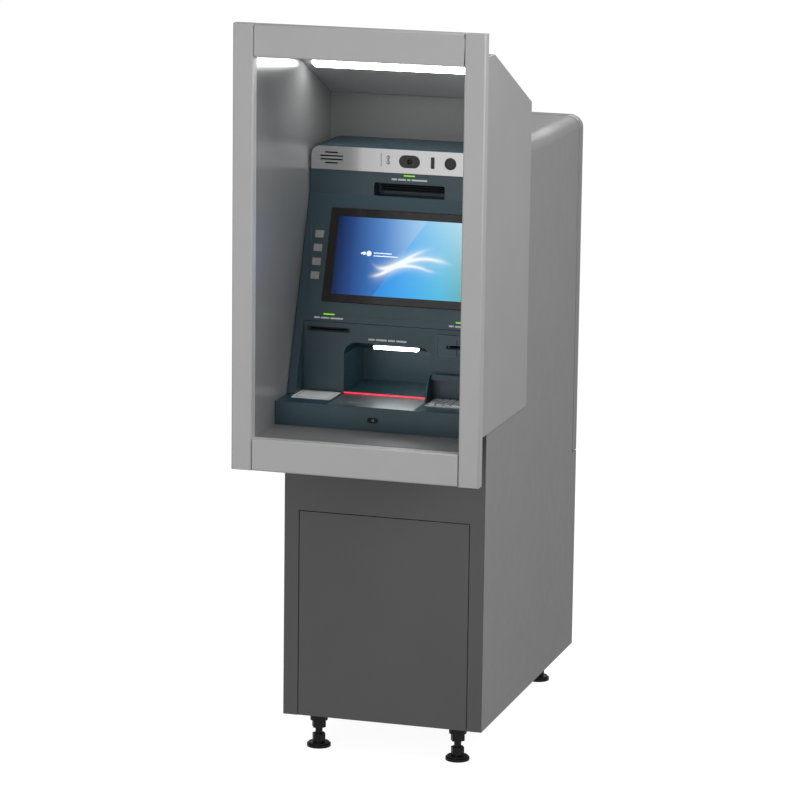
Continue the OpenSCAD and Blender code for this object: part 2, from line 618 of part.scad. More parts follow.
trim_stile_left();
trim_stile_right();
trim_rail_top();
trim_rail_bottom();
hood_side_left();
hood_side_right();
hood_roof();
hood_liner();
hood_lamp();
fascia_panel();
header_plate();
sensor_windows();
indicator_lights();
display_glass();
display_module();
fascia_lower();
cash_shutter();
card_reader();
keypad_shroud();
keypad_plate();
shelf();
shelf_plate();
contactless_pad();
receipt_printer();
cabinet_shell();
cabinet_frame();
front_cover();
leveling_feet();
safe_body();
safe_door();
safe_handle();
lock_dial();
rear_door();
cash_recycler();
cash_cassettes();
pc_unit();
for (i = [0 : 7]) function_key(i);
for (i = [0 : 15]) keypad_key(i);
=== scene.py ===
"""Visual model of a through-the-wall automated teller machine, laid out as a Blender add-on."""

import json
import math

import bmesh
import bpy
from bpy.props import FloatProperty, FloatVectorProperty, IntProperty, PointerProperty
from mathutils import Matrix, Vector

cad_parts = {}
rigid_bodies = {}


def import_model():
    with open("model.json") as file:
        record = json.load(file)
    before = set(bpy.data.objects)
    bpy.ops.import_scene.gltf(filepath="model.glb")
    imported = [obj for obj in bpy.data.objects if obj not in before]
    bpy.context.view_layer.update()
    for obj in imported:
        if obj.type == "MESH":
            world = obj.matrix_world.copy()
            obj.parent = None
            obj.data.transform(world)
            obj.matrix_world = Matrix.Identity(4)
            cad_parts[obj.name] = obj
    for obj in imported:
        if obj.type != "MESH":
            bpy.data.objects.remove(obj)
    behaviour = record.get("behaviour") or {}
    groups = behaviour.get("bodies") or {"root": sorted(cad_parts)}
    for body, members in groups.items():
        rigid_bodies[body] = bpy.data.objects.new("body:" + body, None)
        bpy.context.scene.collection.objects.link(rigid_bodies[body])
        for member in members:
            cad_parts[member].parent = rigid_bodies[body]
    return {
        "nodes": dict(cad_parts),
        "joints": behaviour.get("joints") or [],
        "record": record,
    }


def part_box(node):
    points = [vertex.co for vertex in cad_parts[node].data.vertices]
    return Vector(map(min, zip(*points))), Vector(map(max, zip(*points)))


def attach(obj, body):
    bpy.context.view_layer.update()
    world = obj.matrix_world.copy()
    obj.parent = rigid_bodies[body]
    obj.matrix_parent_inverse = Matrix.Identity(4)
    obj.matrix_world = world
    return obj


bl_info = {
    "name": "Automated teller machine",
    "version": (1, 0, 0),
    "blender": (4, 5, 0),
    "location": "3D View > Sidebar > Teller",
    "description": "Finishes, screen, lamps, key legends, seals and small fittings of a teller machine",
    "category": "Object",
}

for leftover in list(bpy.data.objects):
    bpy.data.objects.remove(leftover)
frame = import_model()
NODES = frame["nodes"]
JOINTS = {joint["name"]: joint for joint in frame["joints"]}
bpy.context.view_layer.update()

MM = 0.001
CABINET = "cabinet"
RIGHT, UP, BACK = Vector((1, 0, 0)), Vector((0, 0, 1)), Vector((0, 1, 0))
SMOOTH_ANGLE = math.radians(32)
SAME_PLACE = 0.001 * MM

# Depth of printed marks, on the panels and on the header and screen.
PRINT = 0.12 * MM
FINE_PRINT = 0.1 * MM

# Places on pieces whose own box doesn't give them: across, towards the back, up, and along the slope.
SPEAKER_X = -199.5 * MM
PASSER_X = 104 * MM
RECEIPT_X = -169.3 * MM
RECEIPT_MARK_X = -171 * MM
CARD_MARK_X = 165.5 * MM
SOCKET_X = -8 * MM
MARK_COLUMN_X = -72 * MM
SYMBOL_X = -54 * MM
SPOKES_X = 90 * MM
PLATE_MARK_Y = -352 * MM
CASH_MARK_Z = 1036.6 * MM
LEDGE_Z = 616 * MM
SLOPE_FOOT = -157.5 * MM


# ---------- places, worked out from the frame ----------
def middle(node):
    """Centre of a CAD node's box."""
    low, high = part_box(node)
    return (low + high) / 2


def facing(origin, across, up):
    """Placement whose X runs across, Y runs up and Z stands out of a face."""
    matrix = Matrix((across, up, across.cross(up))).transposed().to_4x4()
    matrix.translation = origin
    return matrix


def on_front(x, y, z):
    """Placement on a face that looks towards the customer."""
    return facing(Vector((x, y, z)), RIGHT, UP)


def on_rear(x, y, z):
    """Placement on a face that looks towards the service side."""
    return facing(Vector((x, y, z)), -RIGHT, UP)


def on_top(x, y, z):
    """Placement on a face that looks up."""
    return facing(Vector((x, y, z)), RIGHT, BACK)


PRESS = Vector(JOINTS["function_key_1_press"]["axis"])
UP_SLOPE = Vector((0, -PRESS.z, PRESS.y))
GLASS_HALF = 2 * MM
GLASS_FRONT = middle("display_glass") - PRESS * GLASS_HALF


def on_slope(x, along, out=0.0):
    """Placement on the slanted panel, measured from the middle of the display glass."""
    return facing(GLASS_FRONT + RIGHT * x + UP_SLOPE * along - PRESS * out, RIGHT, UP_SLOPE)


# ---------- settings ----------
def linear(hex_code):
    """An sRGB hex value as a linear colour."""
    parts = [int(hex_code[i:i + 2], 16) / 255 for i in (1, 3, 5)]
    return [c / 12.92 if c <= 0.04045 else ((c + 0.055) / 1.055) ** 2.4 for c in parts]


def colour(name, hex_code, words):
    """A colour that a user may change."""
    return FloatVectorProperty(
        name=name, description=words, subtype="COLOR", size=3, min=0, max=1, default=linear(hex_code)
    )


def length(name, millimetres, words):
    """A length that a user may change."""
    return FloatProperty(
        name=name, description=words, unit="LENGTH", subtype="DISTANCE", default=millimetres * MM
    )


def gain(name, strength, words):
    """A glow that a user may change."""
    return FloatProperty(name=name, description=words, default=strength, min=0, max=50)


def power(name, watts, words):
    """A studio light's power that a user may change."""
    return FloatProperty(name=name, description=words, unit="POWER", default=watts)


class TellerColours(bpy.types.PropertyGroup):
    """Colours of the finishes."""

    surround: colour("Surround", "#B7B7B7", "Powder coat of the wall surround")
    hood: colour("Hood", "#B0B0B0", "Satin sheet of the hood's sides and roof")
    # Painted shade: the hood's left side is the hood's own satin sheet, made darker for the shade inside the
    # niche
    left_side_painted_shade: colour("Niche side", "#8C8C8C", "Satin sheet of the hood's side in the shade")
    liner: colour("Liner", "#737373", "Paint of the niche's back and floor")
    fascia: colour("Fascia", "#1F3E49", "Moulded plastic of the fascia")
    # Painted light: the reader's bezel is the fascia's plastic made lighter for the light that falls on it
    reader: colour("Card reader", "#41555D", "Moulded plastic of the card reader's bezel")
    plate: colour("Header plate", "#C8C8C8", "Brushed aluminium of the header plate")
    glass: colour("Display border", "#151211", "Print behind the display glass")
    key: colour("Function keys", "#989795", "Function key caps")
    keypad: colour("Keypad", "#D6D9DB", "Stainless steel of the keypad")
    pad: colour("Card pad", "#E6E9E9", "Contactless card pad")
    cabinet: colour("Cabinet front", "#606060", "Powder coat of the cabinet's front")
    shell: colour("Cabinet shell", "#969696", "Powder coat of the cabinet's sides, top and rear door")
    shelf: colour("Shelf plate", "#B9C0C2", "Satin metal of the shelf plate")
    safe: colour("Safe", "#8B9AA6", "Hammered enamel of the safe")
    module: colour("Modules", "#B4B8BC", "Zinc coat of the module cases")
    cassette: colour("Cassettes", "#26282B", "Moulded plastic of the cassettes")
    cassette_mark: colour("Cassette marks", "#2F6DB5", "Index strips on the cassettes")
    light: colour("Guide lights", "#7DCB22", "Guide lights beside the slots")
    bar: colour("Shutter light", "#F0384C", "Light bar at the mouth of the cash niche")
    ink: colour("Legends", "#D6DBDD", "Printed marks on the fascia")


class TellerSizes(bpy.types.PropertyGroup):
    """Sizes of the visual pieces."""

    screen_w: length("Screen width", 344, "Lit width of the display")
    screen_h: length("Screen height", 193.2, "Lit height of the display")
    mark_h: length("Mark height", 4.4, "Height of the printed marks")
    digit_h: length("Digit height", 7.5, "Height of the keypad's digits")
    gasket: length("Gasket", 6, "Width of the rear door's gasket")
    edge: length("Edge", 0.8, "Softening of the sheet and moulded edges")
    light_gain: gain("Guide light", 0.8, "Glow of the guide lights")
    lamp_gain: gain("Hood lamp", 20, "Glow of the hood lamp")
    niche_gain: gain("Niche lamp", 21, "Glow of the cash niche's lamp")
    dial_marks: IntProperty(
        name="Dial marks", description="Divisions round the lock dial", default=50, min=10, max=100
    )


class TellerView(bpy.types.PropertyGroup):
    """Camera and studio."""

    place: FloatVectorProperty(
        name="Camera place", description="Where the camera stands", subtype="TRANSLATION",
        unit="LENGTH", default=(2.7515, -9.3486, 2.8685)
    )
    yaw: FloatProperty(
        name="Turn", description="Camera's turn to the left", subtype="ANGLE", default=0.29202
    )
    pitch: FloatProperty(
        name="Tilt", description="Camera's tilt down", subtype="ANGLE", default=0.20504
    )
    roll: FloatProperty(name="Roll", description="Camera's roll", subtype="ANGLE", default=0.01288)
    lens: FloatProperty(name="Lens", description="Focal length", subtype="DISTANCE_CAMERA", default=178.95)
    sky: FloatProperty(name="Sky", description="Strength of the white surround", default=0.28, min=0, max=5)
    key_power: power("Key light", 82, "Power of the key light")
    front_power: power("Front light", 12, "Power of the front softbox")
    fill_power: power("Fill light", 23, "Power of the low fill light")
    rear_power: power("Rear light", 36, "Power of the light behind the cabinet")


def settings():
    """The scene's three groups of settings."""
    scene = bpy.context.scene
    return scene.teller_colours, scene.teller_sizes, scene.teller_view


# ---------- shapes ----------
def soften(bm, geom, width, segments=2, affect="EDGES"):
    """Rounds the given edges or corners."""
    bmesh.ops.bevel(
        bm, geom=geom, offset=width, offset_type="OFFSET", segments=segments, profile=0.5,
        affect=affect, material=-1, clamp_overlap=True
    )


def outline(width, height, radius, with_uv=False):
    """A flat rounded rectangle in XY, centred, facing up."""
    bm = bmesh.new()
    if with_uv:
        bm.loops.layers.uv.new("UVMap")
    bmesh.ops.create_grid(bm, x_segments=1, y_segments=1, size=0.5, calc_uvs=with_uv)
    bmesh.ops.scale(bm, vec=(width, height, 1), verts=bm.verts)
    if radius > 0:
        soften(bm, bm.verts[:], radius, 6, "VERTICES")
    return bm


def thicken(bm, depth, edge=0.0):
    """Raises flat faces into a closed solid, with its upper rim softened."""
    base = bm.faces[:]
    made = bmesh.ops.extrude_face_region(bm, geom=base, use_keep_orig=True)
    raised = [item for item in made["geom"] if isinstance(item, bmesh.types.BMVert)]
    bmesh.ops.translate(bm, vec=(0, 0, depth), verts=raised)
    bmesh.ops.recalc_face_normals(bm, faces=bm.faces)
    if edge > 0:
        top = set(raised)
        rim = [e for e in bm.edges if e.verts[0] in top and e.verts[1] in top and not e.is_boundary
               and abs(e.calc_face_angle(0)) > 1]
        soften(bm, rim, edge)
    return bm


def plate(width, height, depth, radius, edge=0.0):
    """A rounded plate standing on XY."""
    return thicken(outline(width, height, radius), depth, edge)


def ring_plate(width, height, radius, wall, depth):
    """A rounded rectangular ring standing on XY."""
    bm = outline(width, height, radius)
    bmesh.ops.inset_region(
        bm, faces=bm.faces[:], thickness=wall, use_boundary=True, use_even_offset=True
    )
    inner = max(bm.faces, key=lambda face: len(face.verts))
    bmesh.ops.delete(bm, geom=[inner], context="FACES")
    return thicken(bm, depth)


def turned(points, steps=48, closed=False):
    """A shape turned round Z from (radius, height) points: an outline, or a line that ends on the axis."""
    bm = bmesh.new()
    verts = [bm.verts.new((radius, 0, height)) for radius, height in points]
    ends = verts[1:] + verts[:1] if closed else verts[1:]
    edges = [bm.edges.new(pair) for pair in zip(verts, ends)]
    bmesh.ops.spin(
        bm, geom=verts + edges, cent=(0, 0, 0), axis=(0, 0, 1), angle=math.tau, steps=steps,
        use_merge=True, use_duplicate=False
    )
    bmesh.ops.remove_doubles(bm, verts=bm.verts, dist=SAME_PLACE)
    bmesh.ops.recalc_face_normals(bm, faces=bm.faces)
    return bm


def turned_ring(inner, outer, depth, edge):
    """A flat ring turned round Z, with softened upper edges."""
    return turned([(inner, 0), (inner, depth - edge), (inner + edge, depth),
                   (outer - edge, depth), (outer, depth - edge), (outer, 0)], closed=True)


def rod(radius, span, edge):
    """A rod along X, centred, with softened ends."""
    half = span / 2
    bm = turned([(0, -half), (radius - edge, -half), (radius, -half + edge),
                 (radius, half - edge), (radius - edge, half), (0, half)], steps=24)
    bmesh.ops.rotate(bm, verts=bm.verts, cent=(0, 0, 0), matrix=Matrix.Rotation(math.pi / 2, 3, "Y"))
    return bm


def digits(text, height, depth):
    """Numerals as a solid standing on XY, centred."""
    curve = bpy.data.curves.new("digits", "FONT")
    curve.body = text
    curve.size = height * 1.4
    curve.extrude = depth / 2
    curve.align_x, curve.align_y = "CENTER", "CENTER"
    curve.resolution_u = 4
    writing = bpy.data.objects.new("digits", curve)
    bpy.context.scene.collection.objects.link(writing)
    bpy.context.view_layer.update()
    mesh = bpy.data.meshes.new_from_object(writing.evaluated_get(bpy.context.evaluated_depsgraph_get()))
    bm = bmesh.new()
    bm.from_mesh(mesh)
    bmesh.ops.remove_doubles(bm, verts=bm.verts, dist=SAME_PLACE)
    bmesh.ops.translate(bm, vec=(0, 0, depth / 2), verts=bm.verts)
    bpy.data.objects.remove(writing)
    bpy.data.meshes.remove(mesh)
    return bm


def add_piece(name, shapes, finish, body=CABINET):
    """One piece from (shape, placement) pairs, in one finish, riding on a body."""
    whole = bmesh.new()
    for shape, place in shapes:
        bmesh.ops.transform(shape, matrix=place, verts=shape.verts)
        part = bpy.data.meshes.new("part")
        shape.to_mesh(part)
        shape.free()
        whole.from_mesh(part)
        bpy.data.meshes.remove(part)
    for edge in whole.edges:
        edge.smooth = len(edge.link_faces) == 2 and edge.calc_face_angle(0) < SMOOTH_ANGLE
    for face in whole.faces:
        face.smooth = True
    mesh = bpy.data.meshes.new(name)
    whole.to_mesh(mesh)
    whole.free()
    mesh.materials.append(MATERIALS[finish])
    piece = bpy.data.objects.new(name, mesh)
    bpy.context.scene.collection.objects.link(piece)
    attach(piece, body)
    return piece


# ---------- materials ----------
def add_node(tree, kind, inputs=None, **options):
    """Adds a node, sets its options, and sets or links its inputs."""
    node = tree.nodes.new(kind)
    for name, value in options.items():
        setattr(node, name, value)
    for name, value in (inputs or {}).items():
        if isinstance(value, bpy.types.NodeSocket):
            tree.links.new(value, node.inputs[name])
        else:
            node.inputs[name].default_value = value
    return node


def new_material(name, base, roughness, metallic=0.0, **sockets):
    """A named material, its node tree and its shader."""
    material = bpy.data.materials.new(name)
    material.use_nodes = True
    material.diffuse_color = (*base, 1)
    tree = material.node_tree
    shader = tree.nodes["Principled BSDF"]
    shader.inputs["Base Color"].default_value = (*base, 1)
    shader.inputs["Roughness"].default_value = roughness
    shader.inputs["Metallic"].default_value = metallic
    for socket, value in sockets.items():
        shader.inputs[socket.replace("_", " ")].default_value = value
    return material, tree, shader


def pattern(tree, size_mm, detail=2.0, stretch=(1, 1, 1)):
    """Noise on Object coordinates with features of a real size, drawn out along an axis by stretch."""
    place = add_node(tree, "ShaderNodeTexCoord")
    mapping = add_node(tree, "ShaderNodeMapping", {
        "Vector": place.outputs["Object"], "Scale": [1 / (size_mm * MM * s) for s in stretch]})
    noise = add_node(tree, "ShaderNodeTexNoise", {
        "Vector": mapping.outputs["Vector"], "Scale": 1.0, "Detail": detail, "Roughness": 0.55})
    return noise.outputs["Fac"]


def vary(tree, shader, socket, source, low, high):
    """Drives a shader socket from a pattern between two values or colours."""
    if isinstance(low, (int, float)):
        spread = add_node(tree, "ShaderNodeMapRange", {
            "Value": source, "From Min": 0.3, "From Max": 0.7, "To Min": low, "To Max": high})
        tree.links.new(spread.outputs["Result"], shader.inputs[socket])
        return
    ramp = add_node(tree, "ShaderNodeValToRGB", {"Fac": source})
    for element, position, tone in zip(ramp.color_ramp.elements, (0.3, 0.7), (low, high)):
        element.position = position
        element.color = (*tone, 1)
    tree.links.new(ramp.outputs["Color"], shader.inputs[socket])


def emboss(tree, shader, source, depth_mm, strength=1.0):
    """Raises a pattern as fine relief of a real depth."""
    bump = add_node(tree, "ShaderNodeBump", {
        "Height": source, "Distance": depth_mm * MM, "Strength": strength})
    tree.links.new(bump.outputs["Normal"], shader.inputs["Normal"])


def shade(base, factor):
    """A colour made lighter or darker."""
    return [min(1.0, c * factor) for c in base]


def mottle(tree, shader, base, source, dark, light):
    """Varies the base colour between two of its shades."""
    vary(tree, shader, "Base Color", source, shade(base, dark), shade(base, light))


def powder_coat(name, base, roughness=0.42, peel_mm=2.2):
    """Polyester powder coat on steel: an even satin skin with a slight orange peel."""
    material, tree, shader = new_material(name, base, roughness, IOR=1.5)
    mottle(tree, shader, base, pattern(tree, 160, 3), 0.98, 1.02)
    vary(tree, shader, "Roughness", pattern(tree, 35, 4), roughness - 0.04, roughness + 0.05)
    emboss(tree, shader, pattern(tree, peel_mm, 1.5), 0.05, 0.5)
    return material


def satin_sheet(name, base, roughness, metallic=1.0):
    """Sheet with a rolled satin grain along its length: soft, drawn-out highlights."""
    material, tree, shader = new_material(name, base, roughness, metallic)
    grain = pattern(tree, 3, 2, (40, 40, 1))
    mottle(tree, shader, base, pattern(tree, 240, 3), 0.97, 1.03)
    vary(tree, shader, "Roughness", grain, roughness - 0.005, roughness + 0.005)
    return material


def brushed_metal(name, base, roughness, stretch=(70, 1, 1), metallic=1.0):
    """Metal brushed one way and clear anodised: streaks finer than this are drawn coarser to show."""
    material, tree, shader = new_material(name, base, roughness, metallic, Anisotropic=0.5)
    streak = pattern(tree, 0.5, 4, stretch)
    mottle(tree, shader, base, streak, 0.97, 1.02)
    vary(tree, shader, "Roughness", streak, roughness - 0.02, roughness + 0.03)
    emboss(tree, shader, streak, 0.002, 0.15)
    return material


def moulded_plastic(name, base, roughness=0.4, grain_mm=0.9, specular=0.5):
    """Injection-moulded ABS with a fine spark-eroded texture, drawn a little coarse to show."""
    material, tree, shader = new_material(name, base, roughness, IOR=1.52)
    shader.inputs["Specular IOR Level"].default_value = specular
    mottle(tree, shader, base, pattern(tree, 90, 4), 0.93, 1.07)
    vary(tree, shader, "Roughness", pattern(tree, 12, 4), roughness - 0.05, roughness + 0.05)
    emboss(tree, shader, pattern(tree, grain_mm, 2), 0.04, 0.45)
    return material


def gloss_acrylic(name, base, roughness=0.06):
    """Smoked acrylic or printed glass: nearly black, with clear reflections and faint handling marks."""
    material, tree, shader = new_material(name, base, roughness, IOR=1.49, Coat_Weight=0.05)
    vary(tree, shader, "Roughness", pattern(tree, 28, 5), roughness - 0.02, roughness + 0.07)
    mottle(tree, shader, base, pattern(tree, 60, 2), 0.9, 1.1)
    return material


def zinc_sheet(name, base):
    """Hot-dip galvanised steel: bright, with flat crystals about a centimetre across."""
    material, tree, shader = new_material(name, base, 0.38, metallic=1.0)
    place = add_node(tree, "ShaderNodeTexCoord")
    crystals = add_node(tree, "ShaderNodeTexVoronoi", {
        "Vector": place.outputs["Object"], "Scale": 1 / (9 * MM)})
    tone = add_node(tree, "ShaderNodeSeparateColor", {"Color": crystals.outputs["Color"]})
    mottle(tree, shader, base, tone.outputs["Red"], 0.82, 1.05)
    vary(tree, shader, "Roughness", tone.outputs["Green"], 0.3, 0.46)
    return material


def hammered_enamel(name, base):
    """Hammered stoving enamel on a safe: shallow round dimples under a gloss skin."""
    material, tree, shader = new_material(name, base, 0.3, metallic=0.25)
    place = add_node(tree, "ShaderNodeTexCoord")
    dimples = add_node(tree, "ShaderNodeTexVoronoi", {
        "Vector": place.outputs["Object"], "Scale": 1 / (4 * MM), "Smoothness": 0.6}, feature="SMOOTH_F1")
    mottle(tree, shader, base, pattern(tree, 70, 3), 0.9, 1.08)
    vary(tree, shader, "Roughness", pattern(tree, 20, 3), 0.24, 0.38)
    emboss(tree, shader, dimples.outputs["Distance"], 0.25, 0.6)
    return material


def chrome(name, base):
    """Chromium plate with a fine polish haze."""
    material, tree, shader = new_material(name, base, 0.12, metallic=1.0)
    vary(tree, shader, "Roughness", pattern(tree, 9, 4), 0.08, 0.2)
    mottle(tree, shader, base, pattern(tree, 40, 2), 0.94, 1.04)
    return material


def rubber(name, base):
    """Moulded nitrile rubber: dull, with a fine grain."""
    material, tree, shader = new_material(name, base, 0.72, IOR=1.52)
    mottle(tree, shader, base, pattern(tree, 30, 4), 0.8, 1.25)
    emboss(tree, shader, pattern(tree, 0.8, 3), 0.06, 0.5)
    return material


def glow(name, base, gain, cell_mm=6.0):
    """An opal light pipe over its lamps: an even glow with a slight brightening at each lamp."""
    material, tree, shader = new_material(name, base, 0.3)
    vary(tree, shader, "Emission Color", pattern(tree, cell_mm, 1), shade(base, 0.92), shade(base, 1.0))
    shader.inputs["Emission Strength"].default_value = gain
    return material


def printed(name, base):
    """Screen-printed ink: matt, with slight edge thinning from the mesh."""
    material, tree, shader = new_material(name, base, 0.55)
    mottle(tree, shader, base, pattern(tree, 2.5, 3), 0.88, 1.0)
    emboss(tree, shader, pattern(tree, 0.6, 1), 0.01, 0.3)
    return material


def speaker_cloth(name, base):
    """Woven acoustic cloth behind the speaker slots, threads about half a millimetre apart."""
    material, tree, shader = new_material(name, base, 0.85)
    place = add_node(tree, "ShaderNodeTexCoord")
    threads = add_node(tree, "ShaderNodeTexWave", {
        "Vector": place.outputs["Object"], "Scale": 1 / (1.2 * MM) / 6.28}, wave_type="BANDS",
        bands_direction="DIAGONAL")
    mottle(tree, shader, base, threads.outputs["Fac"], 0.5, 1.6)
    emboss(tree, shader, threads.outputs["Fac"], 0.15, 0.7)
    return material


# Colours across the screen's two fields, from left to right.
LEFT_FIELD = [(0.0, "#061D45"), (0.12, "#0F3E80"), (0.35, "#3076C4"), (0.62, "#86BDF0")]
RIGHT_FIELD = [(0.3, "#2088E2"), (0.55, "#36A8F0"), (0.8, "#4CBBE4"), (0.97, "#5DAFB6")]
# Each light streak on the screen: how high it runs across the width, its half width and its strength.
STREAKS = [
    ([(0.0, 0.16), (0.245, 0.246), (0.335, 0.277), (0.42, 0.36), (0.5, 0.46), (0.62, 0.59), (0.74, 0.67),
      (1.0, 0.8)], 0.044,
     [(0.22, 0.0), (0.34, 0.75), (0.46, 1.0), (0.6, 0.6), (0.76, 0.0)]),
    ([(0.0, 0.7), (0.27, 0.43), (0.33, 0.366), (0.39, 0.371), (0.48, 0.43), (0.57, 0.488), (0.66, 0.514),
      (0.75, 0.506), (0.85, 0.468), (1.0, 0.4)], 0.044,
     [(0.25, 0.0), (0.37, 0.8), (0.5, 1.0), (0.74, 0.8), (0.9, 0.0)]),
    ([(0.0, 0.1), (0.36, 0.32), (0.42, 0.37), (0.48, 0.402), (0.55, 0.412), (0.63, 0.4), (0.7, 0.367),
      (0.8, 0.34), (1.0, 0.3)], 0.034,
     [(0.36, 0.0), (0.46, 0.9), (0.6, 0.8), (0.7, 0.45), (0.82, 0.0)]),
]


def screen_picture():
    """Lit liquid crystal display behind glass: a blue wash in two fields with curved bands of light."""
    material, tree, shader = new_material("liquid_crystal_display", (0.0, 0.0, 0.0), 0.16, IOR=1.5)
    chart = add_node(tree, "ShaderNodeUVMap", uv_map="UVMap")
    axes = add_node(tree, "ShaderNodeSeparateXYZ", {"Vector": chart.outputs["UV"]})
    across, up = axes.outputs["X"], axes.outputs["Y"]
    fields = []
    for stops in (LEFT_FIELD, RIGHT_FIELD):
        ramp = add_node(tree, "ShaderNodeValToRGB", {"Fac": across})
        while len(ramp.color_ramp.elements) < len(stops):
            ramp.color_ramp.elements.new(0.5)
        for element, (place, hex_code) in zip(ramp.color_ramp.elements, stops):
            element.position = place
            element.color = (*linear(hex_code), 1)
        fields.append(ramp.outputs["Color"])
    # the border between the fields leans to the right
    lean = up
    for operation, second in (("MULTIPLY", -0.345), ("ADD", across)):
        lean = add_node(tree, "ShaderNodeMath", {0: lean, 1: second}, operation=operation).outputs["Value"]
    side = add_node(tree, "ShaderNodeMapRange", {"Value": lean, "From Min": 0.305, "From Max": 0.313})
    both = add_node(tree, "ShaderNodeMix", {
        "Factor": side.outputs["Result"], "A": fields[0], "B": fields[1]}, data_type="RGBA")
    # the upper right is washed with light, the lower left falls away
    wash = up
    for operation, second in (("POWER", 1.4), ("MULTIPLY", across), ("MULTIPLY", across),
                              ("MULTIPLY", 0.75)):
        wash = add_node(tree, "ShaderNodeMath", {0: wash, 1: second}, operation=operation).outputs["Value"]
    lit = add_node(tree, "ShaderNodeMix", {
        "Factor": wash, "A": both.outputs["Result"], "B": (*linear("#D8F2FF"), 1)}, data_type="RGBA")
    total = 0.0
    for heights, half, strengths in STREAKS:
        lines = []
        for points in (heights, [(0.0, 0.0), *strengths, (1.0, 0.0)]):
            curve = add_node(tree, "ShaderNodeFloatCurve", {"Value": across})
            line = curve.mapping.curves[0]
            while len(line.points) < len(points):
                line.points.new(0.5, 0.5)
            for point, place in zip(line.points, points):
                point.location = place
            curve.mapping.update()
            lines.append(curve.outputs["Value"])
        gap = up
        for operation, second in (("SUBTRACT", lines[0]), ("ABSOLUTE", 0.0)):
            gap = add_node(tree, "ShaderNodeMath", {0: gap, 1: second}, operation=operation).outputs["Value"]
        for reach, power, weight in ((half, 1.5, 0.9), (half * 4, 2.0, 0.35)):
            fall = add_node(tree, "ShaderNodeMapRange", {"Value": gap, "From Min": reach, "From Max": 0.0})
            band = fall.outputs["Result"]
            for operation, second in (("POWER", power), ("MULTIPLY", weight), ("MULTIPLY", lines[1]),
                                      ("ADD", total)):
                step = add_node(tree, "ShaderNodeMath", {0: band, 1: second}, operation=operation)
                band = step.outputs["Value"]
            total = band
    total = add_node(tree, "ShaderNodeMath", {0: total, 1: 1.0}, operation="MINIMUM").outputs["Value"]
    picture = add_node(tree, "ShaderNodeMix", {
        "Factor": total, "A": lit.outputs["Result"], "B": (0.93, 0.99, 1.0, 1)}, data_type="RGBA")
    tree.links.new(picture.outputs["Result"], shader.inputs["Emission Color"])
    shader.inputs["Emission Strength"].default_value = 0.95
    return material


MATERIALS = {}


def make_materials():
    """Every finish, from the scene's colours."""
    tint, size, _ = settings()
    MATERIALS.update({
        "surround_paint": powder_coat("powder_coated_steel_light", tint.surround),
        "hood_metal": satin_sheet("satin_coated_sheet", tint.hood, 0.28, 0.12),
        # Painted shade: a darker copy of the hood's satin sheet, for its shaded left side
        "hood_painted_shade": satin_sheet("satin_coated_sheet_painted_shade", tint.left_side_painted_shade, 0.24, 0.12),
        "liner_paint": powder_coat("powder_coated_steel_mid", tint.liner, 0.5),
        "lamp_white": glow("opal_acrylic_diffuser", linear("#FFFFFF"), size.lamp_gain, 14),
        "niche_lamp": glow("opal_niche_diffuser", linear("#FFFFFF"), size.niche_gain, 14),
        "fascia_plastic": moulded_plastic("moulded_abs_teal", tint.fascia, 0.34, 0.9, 0.8),
        "brushed_aluminium": brushed_metal("brushed_anodised_aluminium", tint.plate, 0.13),
        "black_gloss": gloss_acrylic("smoked_acrylic", linear("#0B0C0D")),
        "led_green": glow("green_light_pipe", tint.light, size.light_gain),
        "display_glass": gloss_acrylic("printed_glass", tint.glass, 0.08),
        "module_metal": zinc_sheet("galvanised_steel", tint.module),
        "keypad_steel": brushed_metal(
            "brushed_stainless_keypad", tint.keypad, 0.3, (30, 1, 1), metallic=0.4),
        "shelf_metal": satin_sheet("satin_shelf_plate", tint.shelf, 0.36),
        # Painted light: a lighter copy of the fascia plastic, for the lit bezel of the card reader
        "reader_plastic_painted_light": moulded_plastic("moulded_reader_bezel_painted_light", tint.reader, 0.35),
        "pad_grey": moulded_plastic("moulded_polycarbonate_pad", tint.pad, 0.35, 1.2),
        "module_plastic": moulded_plastic("moulded_module_housing", linear("#4A4E52"), 0.5),
        "cabinet_paint": powder_coat("powder_coated_steel_dark", tint.cabinet, 0.4, 2.6),
        "shell_paint": powder_coat("powder_coated_steel_grey", tint.shell, 0.4, 2.6),
        "foot_black": moulded_plastic("moulded_nylon_foot", linear("#0C0C0C"), 0.2, 3, 0.6),
        "safe_paint": hammered_enamel("hammered_stoving_enamel", tint.safe),
        "lock_chrome": chrome("chromium_plate", linear("#D9DCDF")),
        "cassette_plastic": moulded_plastic("moulded_cassette_case", tint.cassette, 0.45),
        "key_grey": moulded_plastic("moulded_key_cap", tint.key, 0.38, 1.4),
        "screen": screen_picture(),
        "lit_ink": glow("lit_screen_marks", linear("#DCEBFA"), 0.8),
        "bar_light": glow("red_light_pipe", tint.bar, 1.0),
        "rubber": rubber("nitrile_rubber", linear("#141516")),
        "cloth": speaker_cloth("woven_acoustic_cloth", linear("#111213")),
        "screw": zinc_sheet("zinc_plated_steel", linear("#C2C5C8")),
    })
    for name, sheet_name, base in (
            ("ink", "screen_printed_white", tint.ink),
            ("ink_dark", "screen_printed_black", linear("#26292B")),
            ("ink_red", "enamel_fill_red", linear("#C4262E")),
            ("ink_amber", "enamel_fill_amber", linear("#E0B020")),
            ("ink_green", "enamel_fill_green", linear("#2E9E49")),
            ("ink_index", "index_strip", tint.cassette_mark)):
        MATERIALS[name] = printed(sheet_name, base)


